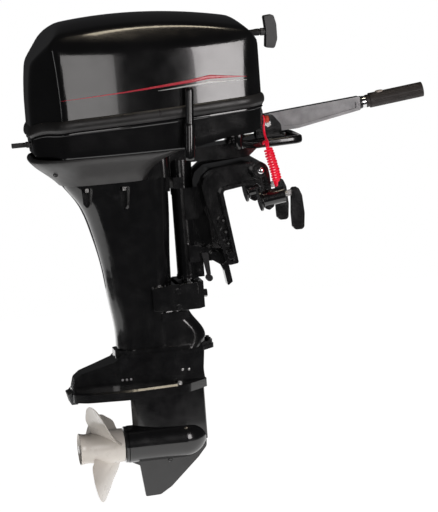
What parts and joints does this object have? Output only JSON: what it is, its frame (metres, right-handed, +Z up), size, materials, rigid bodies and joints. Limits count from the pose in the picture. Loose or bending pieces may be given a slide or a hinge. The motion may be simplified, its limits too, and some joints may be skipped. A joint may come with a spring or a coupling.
{
  "type": "outboard motor",
  "caption": "Black tiller-steered outboard boat motor with a cowled powerhead, transom clamps, leg, gearcase and white three-blade propeller.",
  "frame": {"origin": "top outer corner of the transom seat, midway between the two clamp brackets", "axes": "+X to the bow, +Y to port, +Z up, with the motor upright in its running position"},
  "size_m": [0.8969, 0.3215, 1.0381],
  "materials": {
    "black_paint": "gloss black enamel on a casting",
    "cowl_black": "gloss",
    "band_rubber": "satin",
    "black_rubber": "matte",
    "tiller_paint": "satin dark grey enamel on a casting",
    "black_plastic": "satin",
    "grey_plastic": "satin",
    "stainless": "brushed",
    "steel": "ground",
    "zinc": "matte",
    "cast_alloy": "as cast",
    "iron": "machined",
    "prop_white": "gloss ivory enamel on a casting",
    "red_button": "gloss",
    "lanyard_red": "satin",
    "ceramic_white": "glazed",
    "rope_white": "woven"
  },
  "bodies": {
    "clamp": {"clamp_bracket_starboard": "black_paint", "clamp_bracket_port": "black_paint", "tilt_tube": "stainless", "trim_rod": "black_paint"},
    "pad_starboard": {"clamp_pad_starboard": "steel"},
    "pad_port": {"clamp_pad_port": "steel"},
    "screw_starboard": {"clamp_screw_starboard": "steel"},
    "screw_port": {"clamp_screw_port": "steel"},
    "handle_starboard": {"clamp_handle_starboard": "black_paint"},
    "handle_port": {"clamp_handle_port": "black_paint"},
    "swivel": {"swivel_bracket": "black_paint"},
    "tilt_lock": {"tilt_lock_lever": "black_paint"},
    "shallow_lever": {"shallow_drive_lever": "black_plastic"},
    "motor": {"steering_bracket": "black_paint", "lower_mount_bracket": "black_paint", "mount_dampers": "black_rubber", "upper_casing": "black_paint", "apron": "black_paint", "bottom_cowl": "cowl_black", "lower_casing": "black_paint", "anode": "zinc", "motor_bolts": "stainless", "cylinder_block": "cast_alloy", "cylinder_head": "cast_alloy", "crankcase_cover": "cast_alloy", "spark_plugs": "ceramic_white", "carburettor": "cast_alloy", "water_pump_housing": "black_paint", "bearing_carrier": "black_paint", "recoil_housing": "black_plastic", "rope_guide": "black_plastic", "stop_switch": "black_plastic", "carrying_handle": "black_plastic", "fuel_connector": "black_plastic", "lanyard_clip": "lanyard_red", "lanyard_lead": "lanyard_red", "lanyard_coil": "lanyard_red"},
    "cowl": {"top_cowl": "cowl_black", "seal_band": "band_rubber"},
    "latch": {"cowl_latch": "black_plastic"},
    "tiller": {"tiller_arm": "tiller_paint"},
    "grip": {"throttle_grip": "black_rubber"},
    "recoil": {"recoil_handle": "grey_plastic", "starter_rope": "rope_white"},
    "pulley": {"recoil_pulley": "black_plastic"},
    "stop": {"stop_button": "red_button"},
    "choke": {"choke_knob": "black_plastic"},
    "shift": {"shift_lever": "cowl_black"},
    "shift_rod": {"shift_rod": "stainless"},
    "clutch": {"dog_clutch": "steel"},
    "crank": {"crankshaft": "steel", "flywheel": "iron", "drive_shaft": "stainless", "pinion_gear": "steel", "water_impeller": "black_rubber"},
    "forward_gear": {"forward_gear": "steel"},
    "reverse_gear": {"reverse_gear": "steel"},
    "prop": {"propeller_shaft": "stainless", "propeller": "prop_white", "propeller_nut": "stainless"}
  },
  "joints": [
    {"name": "pad_slide_starboard", "type": "slide", "parent": "clamp", "child": "pad_starboard", "axis": [-0.989, 0, -0.1478], "range_m": [0, 0.006]},
    {"name": "screw_turn_starboard", "type": "hinge", "parent": "pad_starboard", "child": "screw_starboard", "pos_m": [0.10155, -0.08, -0.02324], "axis": [-0.989, 0, -0.1478], "range_deg": [0, 720]},
    {"name": "handle_swing_starboard", "type": "hinge", "parent": "screw_starboard", "child": "handle_starboard", "pos_m": [0.15298, -0.08, -0.01556], "axis": [0, -1, 0], "range_deg": [0, 80]},
    {"name": "pad_slide_port", "type": "slide", "parent": "clamp", "child": "pad_port", "axis": [-0.989, 0, -0.1478], "range_m": [0, 0.006]},
    {"name": "screw_turn_port", "type": "hinge", "parent": "pad_port", "child": "screw_port", "pos_m": [0.10155, 0.08, -0.02324], "axis": [-0.989, 0, -0.1478], "range_deg": [0, 720]},
    {"name": "handle_swing_port", "type": "hinge", "parent": "screw_port", "child": "handle_port", "pos_m": [0.15298, 0.08, -0.01556], "axis": [0, -1, 0], "range_deg": [0, 80]},
    {"name": "tilt", "type": "hinge", "parent": "clamp", "child": "swivel", "pos_m": [0.081, 0, 0.037], "axis": [0, 1, 0], "range_deg": [0, 60]},
    {"name": "tilt_lock_swing", "type": "hinge", "parent": "swivel", "child": "tilt_lock", "pos_m": [-0.022, -0.045, -0.138], "axis": [0, 1, 0], "range_deg": [0, 30]},
    {"name": "shallow_lever_swing", "type": "hinge", "parent": "swivel", "child": "shallow_lever", "pos_m": [-0.043, -0.045, -0.138], "axis": [0, 1, 0], "range_deg": [0, 25]},
    {"name": "steer", "type": "hinge", "parent": "swivel", "child": "motor", "pos_m": [-0.074, 0, 0], "axis": [0, 0, 1], "range_deg": [-40, 40]},
    {"name": "cowl_lift", "type": "slide", "parent": "motor", "child": "cowl", "axis": [0, 0, 1], "range_m": [0, 0.18]},
    {"name": "latch_swing", "type": "hinge", "parent": "motor", "child": "latch", "pos_m": [-0.391, 0, 0.1255], "axis": [0, -1, 0], "range_deg": [0, 30]},
    {"name": "tiller_fold", "type": "hinge", "parent": "motor", "child": "tiller", "pos_m": [0.125, 0.036, 0.121], "axis": [0, -1, 0], "range_deg": [0, 85]},
    {"name": "throttle_twist", "type": "hinge", "parent": "tiller", "child": "grip", "pos_m": [0.326, 0.036, 0.145], "axis": [0.993, 0, 0.1184], "range_deg": [-20, 70]},
    {"name": "recoil_pull", "type": "slide", "parent": "motor", "child": "recoil", "axis": [1, 0, 0], "range_m": [0, 0.2], "stiffness_N_per_m": 60, "springref_m": -0.05},
    {"name": "pulley_turn", "type": "hinge", "parent": "motor", "child": "pulley", "pos_m": [-0.125, 0, 0.322], "axis": [0, 0, 1], "range_deg": [0, 230]},
    {"name": "stop_press", "type": "slide", "parent": "motor", "child": "stop", "axis": [-1, 0, 0], "range_m": [0, 0.0025], "stiffness_N_per_m": 800, "springref_m": -0.001},
    {"name": "choke_pull", "type": "slide", "parent": "motor", "child": "choke", "axis": [1, 0, 0], "range_m": [0, 0.025]},
    {"name": "shift_swing", "type": "hinge", "parent": "motor", "child": "shift", "pos_m": [-0.072, -0.14, 0.126], "axis": [0, 1, 0], "range_deg": [-25, 25]},
    {"name": "shift_rod_slide", "type": "slide", "parent": "motor", "child": "shift_rod", "axis": [0, 0, 1], "range_m": [-0.006, 0.006]},
    {"name": "crank_spin", "type": "hinge", "parent": "motor", "child": "crank", "pos_m": [-0.125, 0, 0.2], "axis": [0, 0, 1], "continuous": true},
    {"name": "forward_gear_spin", "type": "hinge", "parent": "motor", "child": "forward_gear", "pos_m": [-0.105, 0, -0.534], "axis": [1, 0, 0], "continuous": true},
    {"name": "reverse_gear_spin", "type": "hinge", "parent": "motor", "child": "reverse_gear", "pos_m": [-0.145, 0, -0.534], "axis": [1, 0, 0], "continuous": true},
    {"name": "prop_spin", "type": "hinge", "parent": "motor", "child": "prop", "pos_m": [-0.25, 0, -0.534], "axis": [1, 0, 0], "continuous": true},
    {"name": "dog_slide", "type": "slide", "parent": "prop", "child": "clutch", "axis": [1, 0, 0], "range_m": [-0.0036, 0.0036]}
  ],
  "couplings": [
    {"joint": "pad_slide_starboard", "follows": "screw_turn_starboard", "m_per_rad": 0.00047746},
    {"joint": "pad_slide_port", "follows": "screw_turn_port", "m_per_rad": 0.00047746},
    {"joint": "pulley_turn", "follows": "recoil_pull", "rad_per_m": 20},
    {"joint": "shift_rod_slide", "follows": "shift_swing", "m_per_rad": 0.01146},
    {"joint": "dog_slide", "follows": "shift_swing", "m_per_rad": 0.00802},
    {"joint": "forward_gear_spin", "follows": "crank_spin", "ratio": -0.48148},
    {"joint": "reverse_gear_spin", "follows": "crank_spin", "ratio": 0.48148}
  ]
}
